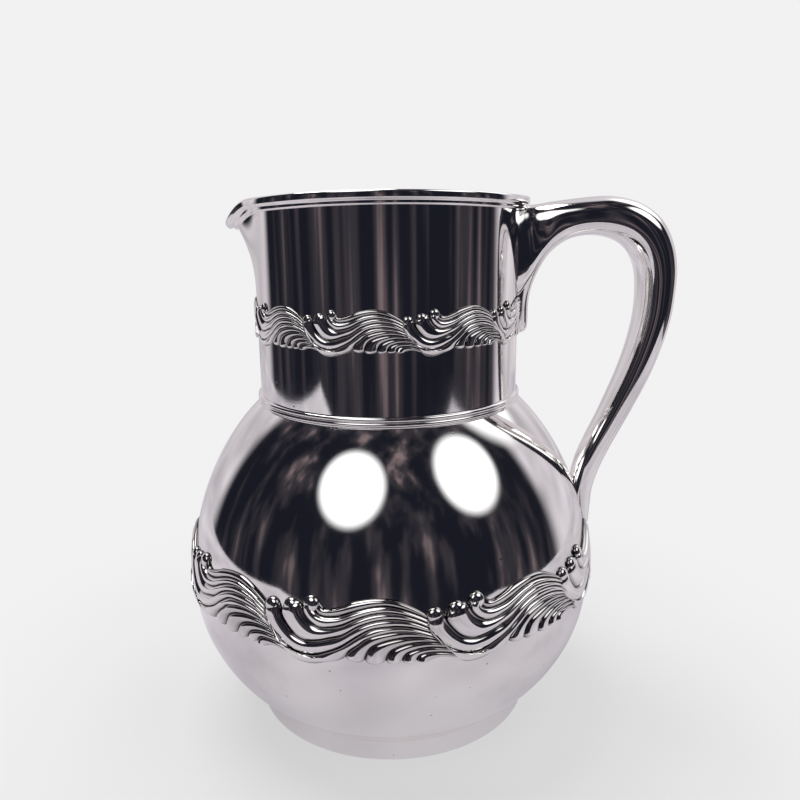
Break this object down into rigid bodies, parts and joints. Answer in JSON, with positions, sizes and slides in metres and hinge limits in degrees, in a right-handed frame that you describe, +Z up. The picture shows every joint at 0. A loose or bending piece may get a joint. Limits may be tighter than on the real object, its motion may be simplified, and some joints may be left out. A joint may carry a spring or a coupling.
{
  "type": "water pitcher",
  "caption": "Silver water pitcher with globular belly, straight neck, pinched lip, hollow loop handle and two bands of raised waves.",
  "frame": {"origin": "on the pitcher's axis, in the plane of the foot ring's lower face", "axes": "+Z up along the axis, +X towards the handle, -X towards the lip"},
  "size_m": [0.2022, 0.1722, 0.214],
  "materials": {
    "polished_silver": "polished sterling silver, fine wear scratches",
    "chased_silver": "struck sterling silver with dark patina in the grooves"
  },
  "bodies": {
    "root": {"belly_bowl": "polished_silver", "neck_wall": "polished_silver", "rim_moulding": "polished_silver", "shoulder_ring": "polished_silver", "foot_ring": "polished_silver", "handle_left_half": "polished_silver", "handle_right_half": "polished_silver", "belly_wave_1": "chased_silver", "belly_wave_2": "chased_silver", "belly_wave_3": "chased_silver", "belly_wave_4": "chased_silver", "belly_wave_5": "chased_silver", "belly_wave_6": "chased_silver", "belly_wave_7": "chased_silver", "belly_wave_8": "chased_silver", "belly_wave_9": "chased_silver", "neck_wave_1": "chased_silver", "neck_wave_2": "chased_silver", "neck_wave_3": "chased_silver", "neck_wave_4": "chased_silver", "neck_wave_5": "chased_silver", "neck_wave_6": "chased_silver", "neck_wave_7": "chased_silver", "neck_wave_8": "chased_silver", "neck_wave_9": "chased_silver"}
  },
  "joints": []
}
